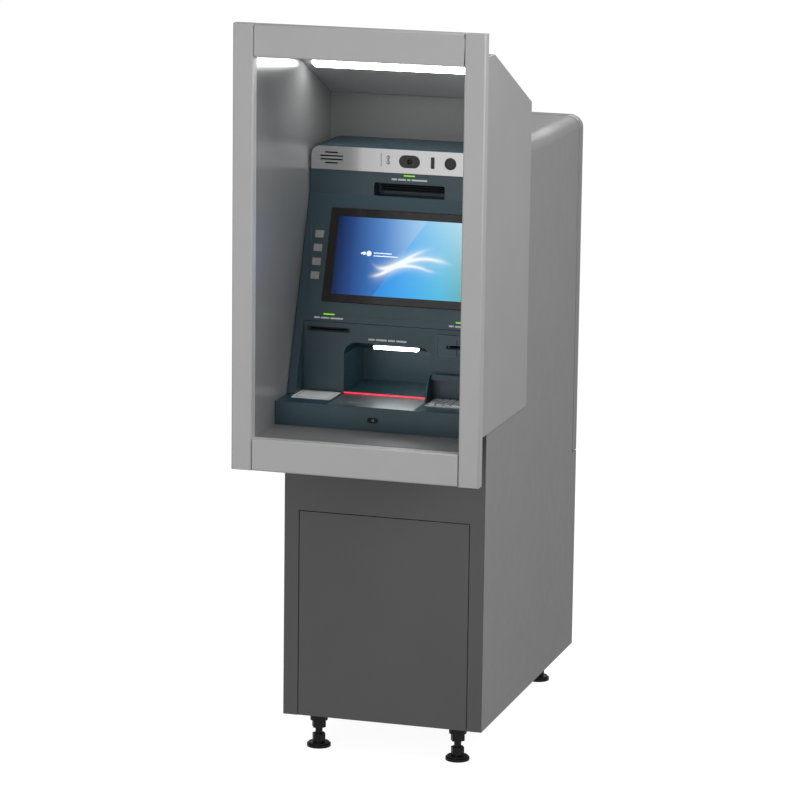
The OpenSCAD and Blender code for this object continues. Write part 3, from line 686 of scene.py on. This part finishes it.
# ---------- operators ----------
class TELLER_OT_stage(bpy.types.Operator):
    """Floor, white surround, studio lights and camera"""

    bl_idname = "teller.stage"
    bl_label = "Stage"

    def execute(self, context):
        view = settings()[2]
        scene = context.scene
        scene.view_settings.view_transform = "Standard"
        floor_shape = outline(60, 60, 0)
        mesh = bpy.data.meshes.new("studio_floor")
        floor_shape.to_mesh(mesh)
        floor_shape.free()
        material, tree, shader = new_material("painted_studio_floor", linear("#909090"), 0.9)
        vary(tree, shader, "Roughness", pattern(tree, 400, 3), 0.85, 0.95)
        shader.inputs["Emission Color"].default_value = (1, 1, 1, 1)
        shader.inputs["Emission Strength"].default_value = 0.93
        mesh.materials.append(material)
        floor = bpy.data.objects.new("studio_floor", mesh)
        floor.visible_diffuse, floor.visible_glossy = False, False
        scene.collection.objects.link(floor)
        world = bpy.data.worlds.new("white_surround")
        world.use_nodes = True
        backdrop = world.node_tree.nodes["Background"]
        backdrop.inputs["Color"].default_value = (1, 1, 1, 1)
        # white behind the machine, dimmer as a source of light
        seen = add_node(world.node_tree, "ShaderNodeLightPath")
        strength = add_node(world.node_tree, "ShaderNodeMapRange", {
            "Value": seen.outputs["Is Camera Ray"], "To Min": view.sky, "To Max": 1.0})
        world.node_tree.links.new(strength.outputs["Result"], backdrop.inputs["Strength"])
        scene.world = world
        self.add_light("key_light", (2.8, -1.2, 3.4), (0, 0, 1.2), (2.0, 2.0), view.key_power)
        self.add_light("fill_light", (-1.2, -3.3, 0.9), (0, 0, 1.0), (2.4, 1.6), view.fill_power)
        self.add_light("rear_light", (0.4, 3.4, 3.4), (0, 0.3, 1.0), (2.0, 2.0), view.rear_power)
        bpy.data.objects["fill_light"].visible_glossy = False
        self.add_light("front_light", (-0.085, -3.0, 1.7), (-0.085, 0, 1.7), (1.9, 2.6), view.front_power)
        self.add_camera(scene, view)
        return {"FINISHED"}

    def add_light(self, name, place, target, size, power):
        """A softbox that looks at a point."""
        data = bpy.data.lights.new(name, "AREA")
        data.shape = "RECTANGLE"
        data.size, data.size_y = size
        data.energy = power
        light = bpy.data.objects.new(name, data)
        light.visible_camera = False
        light.location = place
        light.rotation_euler = (Vector(target) - Vector(place)).to_track_quat("-Z", "Y").to_euler()
        bpy.context.scene.collection.objects.link(light)

    def add_camera(self, scene, view):
        """A long lens in front of the machine, to its right and above it."""
        data = bpy.data.cameras.new("camera")
        data.lens = view.lens
        data.clip_end = 100
        camera = bpy.data.objects.new("camera", data)
        ahead = Vector((-math.sin(view.yaw) * math.cos(view.pitch),
                        math.cos(view.yaw) * math.cos(view.pitch), -math.sin(view.pitch)))
        level = Vector((math.cos(view.yaw), math.sin(view.yaw), 0))
        upright = level.cross(ahead)
        across = level * math.cos(view.roll) + upright * math.sin(view.roll)
        camera.matrix_world = facing(Vector(view.place), across, -ahead.cross(across))
        scene.collection.objects.link(camera)
        scene.camera = camera


class TELLER_OT_finishes(bpy.types.Operator):
    """Finishes and softened edges of the frame's own parts"""

    bl_idname = "teller.finishes"
    bl_label = "Frame finishes"

    def execute(self, context):
        edge = settings()[1].edge
        slots = {part["node"]: part["material_slot"] for part in frame["record"]["subparts"]}
        wide = {"trim_stile_left": 1.6, "trim_stile_right": 1.6, "trim_rail_top": 1.6,
                "trim_rail_bottom": 1.6, "card_reader": 1.5}
        own = {"cabinet_shell": "shell_paint", "rear_door": "shell_paint", "shelf_plate": "shelf_metal",
               # the hood's left side takes the darker copy of the hood sheet, which is painted shade
               "card_reader": "reader_plastic_painted_light", "hood_side_left": "hood_painted_shade"}
        plain = ("indicator_lights", "sensor_windows", "header_plate", "leveling_feet")
        for name, node in NODES.items():
            finish = MATERIALS[own.get(name, slots[name])]
            for holder in node.material_slots:
                holder.link = "OBJECT"
                holder.material = finish
            weld = node.modifiers.new("Weld", "WELD")
            weld.merge_threshold = 0.01 * MM
            if name in plain:
                continue
            bevel = node.modifiers.new("Edges", "BEVEL")
            bevel.width = edge * (wide.get(name, 1.0) if "key" not in name else 0.7)
            bevel.segments = 2
            bevel.limit_method = "ANGLE"
            bevel.angle_limit = math.radians(40)
            bevel.harden_normals = True
        return {"FINISHED"}


class TELLER_OT_screen(bpy.types.Operator):
    """Lit picture of the display, its lit marks, and a rubber border round it"""

    bl_idname = "teller.screen"
    bl_label = "Screen"

    def execute(self, context):
        size = settings()[1]
        skin = 0.15 * MM
        picture = outline(size.screen_w, size.screen_h, 0, with_uv=True)
        thicken(picture, skin)
        add_piece("screen", [(picture, on_slope(0, 0, 0))], "screen")
        low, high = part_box("display_glass")
        glass_w = high.x - low.x
        glass_h = (high.z - low.z - 2 * GLASS_HALF * -PRESS.z) / PRESS.y
        border = ring_plate(glass_w + 3 * MM, glass_h + 3 * MM, 4 * MM, 1.9 * MM, 1.2 * MM)
        add_piece("display_bezel", [(border, on_slope(0, 0, -1.05 * MM))], "rubber")
        icon = [(plate(span * MM, span * MM, FINE_PRINT, span * 0.49 * MM), on_slope(x * MM, 8 * MM, skin))
                for x, span in ((-104, 5), (-98, 8), (-86, 13))]
        for row, span in enumerate((46, 62)):
            icon.append((plate(span * MM, 2.2 * MM, FINE_PRINT, 0.9 * MM),
                         on_slope((-74 + span / 2) * MM, (10 - 7 * row) * MM, skin)))
        add_piece("screen_marks", icon, "lit_ink")
        return {"FINISHED"}


def word_bars(place, widths_mm, height, gap):
    """Blank bars in a row, in place of printed words, centred on a placement."""
    widths = [width * MM for width in widths_mm]
    start = -(sum(widths) + gap * (len(widths) - 1)) / 2
    bars = []
    for width in widths:
        along = Matrix.Translation((start + width / 2, 0, 0))
        bars.append((plate(width, height, PRINT, height * 0.22), place @ along))
        start += width + gap
    return bars


def face_plane():
    """Front of the lower fascia, just ahead of the cash shutter."""
    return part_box("cash_shutter")[0].y - 0.6 * MM


class TELLER_OT_legends(bpy.types.Operator):
    """Blank printed bars by the lights and slots"""

    bl_idname = "teller.legends"
    bl_label = "Printed marks"

    def execute(self, context):
        height = settings()[1].mark_h
        lights_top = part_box("indicator_lights")[1].z
        header_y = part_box("header_plate")[0].y
        plate_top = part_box("shelf_plate")[1].z
        over_passbook = on_front(0, header_y + 1.5 * MM, lights_top - 14 * MM)
        over_cash = on_front(middle("cash_shutter").x, face_plane(), CASH_MARK_Z)
        over_receipt = on_slope(RECEIPT_MARK_X, SLOPE_FOOT, -1 * MM)
        over_card = on_slope(CARD_MARK_X, SLOPE_FOOT, -1 * MM)
        words = (
            ("passbook_mark", over_passbook, (14, 20, 8, 40), 1),
            ("cash_mark", over_cash, (16, 28, 18, 26), 1),
            ("receipt_mark", over_receipt, (14, 22, 32), 0.9),
            ("card_mark", over_card, (12, 20, 22), 0.9),
        )
        for name, place, widths_mm, share in words:
            add_piece(name, word_bars(place, widths_mm, height * share, 3 * MM), "ink")
        on_plate = on_top(-62 * MM, PLATE_MARK_Y, plate_top)
        add_piece("plate_mark", word_bars(on_plate, (12, 8, 16), 3 * MM, 2 * MM), "ink")
        green = [(plate(22 * MM, 2.6 * MM, PRINT, 0.8 * MM), on_top(-32 * MM, PLATE_MARK_Y, plate_top))]
        add_piece("plate_mark_green", green, "ink_green")
        column = [(plate(1.6 * MM, 6 * MM, FINE_PRINT, 0.5 * MM), on_front(MARK_COLUMN_X, header_y, z * MM))
                  for z in (1452, 1460.5, 1469, 1477.5)]
        column += [(turned_ring(3.2 * MM, 4.6 * MM, FINE_PRINT, 0.02 * MM),
                    on_front(SYMBOL_X, header_y, z * MM)) for z in (1459, 1471)]
        column.append((plate(1.4 * MM, 22 * MM, FINE_PRINT, 0.5 * MM),
                       on_front(SYMBOL_X, header_y, 1465 * MM)))
        add_piece("header_mark", column, "ink_dark")
        return {"FINISHED"}


class TELLER_OT_header_fittings(bpy.types.Operator):
    """Speaker cloth, lens rings, camera lens, and the passbook slot's lips and roller"""

    bl_idname = "teller.header_fittings"
    bl_label = "Header fittings"

    def execute(self, context):
        sensors = middle("sensor_windows")
        window_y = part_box("sensor_windows")[0].y
        plate_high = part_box("header_plate")[1]
        back_y = plate_high.y + 3.2 * MM
        cloth = plate(72 * MM, 40 * MM, 1.5 * MM, 3 * MM)
        add_piece("speaker_cloth", [(cloth, on_front(SPEAKER_X, back_y + 1.5 * MM, sensors.z))], "cloth")
        rings = [(turned_ring(5.2 * MM, 7 * MM, 0.5 * MM, 0.15 * MM), on_front(0, window_y, sensors.z)),
                 (turned_ring(10.5 * MM, 11.6 * MM, 0.4 * MM, 0.12 * MM),
                  on_front(PASSER_X, window_y, sensors.z))]
        add_piece("lens_rings", rings, "rubber")
        dome = turned([(0, 1.6 * MM), (2.4 * MM, 1.25 * MM), (4.2 * MM, 0.5 * MM), (5.1 * MM, 0), (0, 0)])
        add_piece("camera_lens", [(dome, on_front(0, window_y, sensors.z))], "display_glass")
        head_y, head_z = plate_high.y, pocket_floor()
        lips = [(plate(168 * MM, 3 * MM, 10 * MM, 1.2 * MM, 0.6 * MM),
                 on_front(0, head_y + 42.5 * MM, head_z + dz * MM)) for dz in (11, 23.4)]
        add_piece("passbook_lips", lips, "rubber")
        add_piece("passbook_roller", [(rod(3.4 * MM, 164 * MM, 0.8 * MM),
                                       Matrix.Translation((0, head_y + 38 * MM, head_z + 17.2 * MM)))],
                  "rubber")
        return {"FINISHED"}


def pocket_floor():
    """Height of the passbook pocket's floor, at the head of the slanted panel."""
    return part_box("header_plate")[0].z - 60 * MM


class TELLER_OT_cash_niche(bpy.types.Operator):
    """Lamp, its holder and the light bar of the cash niche"""

    bl_idname = "teller.cash_niche"
    bl_label = "Cash niche"

    def execute(self, context):
        shutter_low, shutter_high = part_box("cash_shutter")
        mid_x, shelf_z = middle("cash_shutter").x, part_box("shelf")[1].z
        width = shutter_high.x - shutter_low.x
        face_y = face_plane()
        lamp = plate(112 * MM, 8 * MM, 16 * MM, 2 * MM, 1 * MM)
        add_piece("niche_lamp", [(lamp, on_front(mid_x + 20 * MM, face_y + 18 * MM, shelf_z + 117.6 * MM))],
                  "niche_lamp")
        holder = plate(126 * MM, 3 * MM, 14 * MM, 1.2 * MM, 0.6 * MM)
        add_piece("niche_lamp_holder", [
            (holder, on_front(mid_x + 20 * MM, face_y + 18 * MM, shelf_z + 123.2 * MM))],
            "fascia_plastic")
        bar = plate(width - 1 * MM, 3.4 * MM, 2.6 * MM, 1.2 * MM, 0.5 * MM)
        add_piece("shutter_light", [(bar, on_top(mid_x, face_y - 2 * MM, shelf_z))], "bar_light")
        return {"FINISHED"}


class TELLER_OT_card_and_receipt(bpy.types.Operator):
    """Lips of the card slot and receipt slot"""

    bl_idname = "teller.card_and_receipt"
    bl_label = "Card and receipt lips"

    def execute(self, context):
        reader = middle("card_reader")
        face_y = face_plane()
        throat = ring_plate(66 * MM, 7.6 * MM, 1.6 * MM, 0.9 * MM, 1.4 * MM)
        add_piece("card_throat", [(throat, on_front(reader.x, face_y + 2.6 * MM, reader.z + 1 * MM))],
                  "rubber")
        slot_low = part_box("shelf")[1].z + 152 * MM
        lips = ring_plate(107 * MM, 11 * MM, 2.4 * MM, 2.2 * MM, 1.6 * MM)
        add_piece("receipt_lips", [(lips, on_front(RECEIPT_X, face_y, slot_low + 3 * MM))], "rubber")
        return {"FINISHED"}


class TELLER_OT_shelf_fittings(bpy.types.Operator):
    """Headphone socket and card pad border"""

    bl_idname = "teller.shelf_fittings"
    bl_label = "Shelf fittings"

    def execute(self, context):
        shelf_low, shelf_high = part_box("shelf")
        socket_z = shelf_high.z - 31.5 * MM
        face = [(ring_plate(28.2 * MM, 13.6 * MM, 6.75 * MM, 1.8 * MM, 3 * MM),
                 on_front(SOCKET_X, shelf_low.y + 2.6 * MM, socket_z)),
                (plate(26 * MM, 11.4 * MM, 1.2 * MM, 5.6 * MM),
                 on_front(SOCKET_X, shelf_low.y + 3 * MM, socket_z))]
        add_piece("headphone_socket", face, "rubber")
        jack = [(turned_ring(1.8 * MM, 2.9 * MM, 0.8 * MM, 0.25 * MM),
                 on_front(SOCKET_X, shelf_low.y + 1.8 * MM, socket_z))]
        add_piece("headphone_ring", jack, "lock_chrome")
        pad, pad_top = middle("contactless_pad"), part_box("contactless_pad")[1].z
        border = ring_plate(84 * MM, 78 * MM, 4 * MM, 0.9 * MM, 0.1 * MM)
        add_piece("pad_border", [(border, on_top(pad.x, pad.y, pad_top))], "ink_dark")
        return {"FINISHED"}


class TELLER_OT_keypad_legends(bpy.types.Operator):
    """Numerals and colour bars on the keypad's keys"""

    bl_idname = "teller.keypad_legends"
    bl_label = "Keypad legends"

    def execute(self, context):
        height = settings()[1].digit_h
        legends = {1: "1", 2: "2", 3: "3", 5: "4", 6: "5", 7: "6", 9: "7", 10: "8", 11: "9", 14: "0"}
        bars = {4: "ink_red", 8: "ink_amber", 12: "ink_green"}
        for number in range(1, 17):
            key = f"keypad_key_{number}"
            if number in legends:
                kind, mark, ink = "digit", digits(legends[number], height, PRINT), "ink_dark"
            elif number in bars:
                kind, mark, ink = "bar", plate(20 * MM, 3.2 * MM, PRINT, 1.2 * MM), bars[number]
            else:
                kind, mark, ink = "dot", plate(3 * MM, 3 * MM, PRINT, 1.45 * MM), "ink_dark"
            place = on_top(middle(key).x, middle(key).y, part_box(key)[1].z)
            add_piece(f"keypad_{kind}_{number}", [(mark, place)], ink, key)
        return {"FINISHED"}


class TELLER_OT_rear_door_fittings(bpy.types.Operator):
    """Gasket and lock cylinder of the rear door"""

    bl_idname = "teller.rear_door_fittings"
    bl_label = "Rear door fittings"

    def execute(self, context):
        gasket = settings()[1].gasket
        door_low, door_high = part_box("rear_door")
        shell_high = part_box("cabinet_shell")[1]
        half = shell_high.x
        top, foot = door_high.z, door_low.z
        seat_y = door_low.y - 5 * MM
        seal = ring_plate(2 * half - 1 * MM, top - foot - 1 * MM, 33 * MM, gasket, 4.4 * MM)
        add_piece("door_gasket", [(seal, on_rear(0, seat_y, (top + foot) / 2))], "rubber")
        lock_x, lock_z = half - 55 * MM, (shell_high.z + LEDGE_Z) / 2
        barrel = turned([(0, -14 * MM), (10.6 * MM, -14 * MM), (10.6 * MM, 0.6 * MM), (12.5 * MM, 0.6 * MM),
                         (12.5 * MM, 1.6 * MM), (11.5 * MM, 2.4 * MM), (6 * MM, 2.4 * MM), (6 * MM, 1.6 * MM),
                         (0, 1.6 * MM)])
        add_piece("door_lock", [(barrel, on_rear(lock_x, door_high.y - 2.6 * MM, lock_z))],
                  "lock_chrome", "rear_door")
        key_slot = plate(1.6 * MM, 7 * MM, 0.2 * MM, 0.5 * MM)
        add_piece("door_lock_slot", [(key_slot, on_rear(lock_x, door_high.y - 1 * MM, lock_z))],
                  "rubber", "rear_door")
        return {"FINISHED"}


class TELLER_OT_safe_fittings(bpy.types.Operator):
    """Dial marks, dial numerals and handle cap of the safe"""

    bl_idname = "teller.safe_fittings"
    bl_label = "Safe fittings"

    def execute(self, context):
        marks = settings()[1].dial_marks
        hub = middle("lock_dial")
        centre = on_rear(hub.x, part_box("lock_dial")[1].y - 20 * MM, hub.z)
        ticks, numerals = [], []
        for i in range(marks):
            long_tick = i % 5 == 0
            tick = plate(0.7 * MM, (4.6 if long_tick else 2.6) * MM, 0.15 * MM, 0.2 * MM)
            turn = Matrix.Rotation(-math.tau * i / marks, 4, "Z")
            reach = (34.9 if long_tick else 35.9) * MM
            ticks.append((tick, centre @ turn @ Matrix.Translation((0, reach, 0))))
            if i % 5 == 0:
                text = digits(str(100 * i // marks), 4 * MM, 0.15 * MM)
                numerals.append((text, centre @ turn @ Matrix.Translation((0, 29 * MM, 0))))
        add_piece("dial_ticks", ticks, "ink_dark", "lock_dial")
        add_piece("dial_numerals", numerals, "ink_dark", "lock_dial")
        cap = turned([(0, 2.2 * MM), (6 * MM, 2 * MM), (11 * MM, 0.8 * MM), (12.5 * MM, 0), (0, 0)])
        crown_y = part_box("safe_handle")[1].y - 2 * MM
        add_piece("handle_cap", [(cap, on_rear(SPOKES_X, crown_y, hub.z))],
                  "cassette_plastic", "safe_handle")
        return {"FINISHED"}


class TELLER_OT_seam_seals(bpy.types.Operator):
    """Strips behind the seams of the wall surround"""

    bl_idname = "teller.seam_seals"
    bl_label = "Seam seals"

    def execute(self, context):
        strips = []
        for name in ("trim_rail_top", "trim_rail_bottom"):
            low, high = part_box(name)
            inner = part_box("trim_stile_right")[0].x
            strip_x, depth = (high.x + inner) / 2, high.y - low.y - 6 * MM
            for side in (-1, 1):
                strip = plate(2.4 * MM, high.z - low.z - 5 * MM, depth, 0.4 * MM)
                strips.append((strip, on_front(side * strip_x, high.y - 1 * MM, (low.z + high.z) / 2)))
        add_piece("seam_seals", strips, "rubber")
        return {"FINISHED"}


class TELLER_OT_module_fittings(bpy.types.Operator):
    """Index strips on the cassettes, and the fan grille and ports of the computer"""

    bl_idname = "teller.module_fittings"
    bl_label = "Module fittings"

    def execute(self, context):
        low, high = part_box("cash_cassettes")
        pitch = (high.z - low.z - 84 * MM) / 3
        face_y = high.y - 20 * MM
        strips = [(plate(46 * MM, 12 * MM, 0.4 * MM, 1.5 * MM),
                   on_rear(96 * MM, face_y, low.z + 44 * MM + pitch * i)) for i in range(4)]
        add_piece("cassette_strips", strips, "ink_index")
        case_low, case_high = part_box("pc_unit")
        mid_x = (case_low.x + case_high.x) / 2
        ring = turned_ring(30 * MM, 36 * MM, 2 * MM, 0.6 * MM)
        place = on_rear(mid_x, case_high.y, case_low.z + 190 * MM)
        guard = [(ring, place)]
        guard += [(turned_ring(r * MM, (r + 1.6) * MM, 1.6 * MM, 0.4 * MM), place) for r in (10, 17, 24)]
        guard += [(plate(66 * MM, 1.6 * MM, 1.2 * MM, 0.6 * MM), place @ Matrix.Rotation(a, 4, "Z"))
                  for a in (math.pi / 4, -math.pi / 4)]
        add_piece("fan_guard", guard, "screw")
        ports = [(plate(w * MM, 9 * MM, 1 * MM, 1 * MM),
                  on_rear(mid_x + x * MM, case_high.y, case_low.z + z * MM))
                 for x, z, w in [(-22, 110, 16), (0, 110, 14), (22, 110, 14), (-20, 84, 30), (20, 84, 22)]]
        add_piece("computer_ports", ports, "rubber")
        return {"FINISHED"}


class TELLER_PT_panel(bpy.types.Panel):
    """Steps that dress the machine"""

    bl_idname = "TELLER_PT_panel"
    bl_label = "Teller machine"
    bl_space_type = "VIEW_3D"
    bl_region_type = "UI"
    bl_category = "Teller"

    def draw(self, context):
        for step in STEPS:
            self.layout.operator(step.bl_idname)


STEPS = (
    TELLER_OT_stage, TELLER_OT_finishes, TELLER_OT_screen, TELLER_OT_legends, TELLER_OT_header_fittings,
    TELLER_OT_cash_niche, TELLER_OT_card_and_receipt, TELLER_OT_shelf_fittings, TELLER_OT_keypad_legends,
    TELLER_OT_rear_door_fittings, TELLER_OT_safe_fittings, TELLER_OT_seam_seals, TELLER_OT_module_fittings,
)
GROUPS = (TellerColours, TellerSizes, TellerView)
CLASSES = GROUPS + STEPS + (TELLER_PT_panel,)


def register():
    """Registers the classes and the scene's settings."""
    for cls in CLASSES:
        bpy.utils.register_class(cls)
    bpy.types.Scene.teller_colours = PointerProperty(type=TellerColours)
    bpy.types.Scene.teller_sizes = PointerProperty(type=TellerSizes)
    bpy.types.Scene.teller_view = PointerProperty(type=TellerView)


def unregister():
    """Removes the settings and the classes."""
    del bpy.types.Scene.teller_view
    del bpy.types.Scene.teller_sizes
    del bpy.types.Scene.teller_colours
    for cls in reversed(CLASSES):
        bpy.utils.unregister_class(cls)


def main():
    """Dresses the machine."""
    register()
    make_materials()
    for step in STEPS:
        group, name = step.bl_idname.split(".")
        getattr(getattr(bpy.ops, group), name)()


if __name__ == "__main__":
    main()
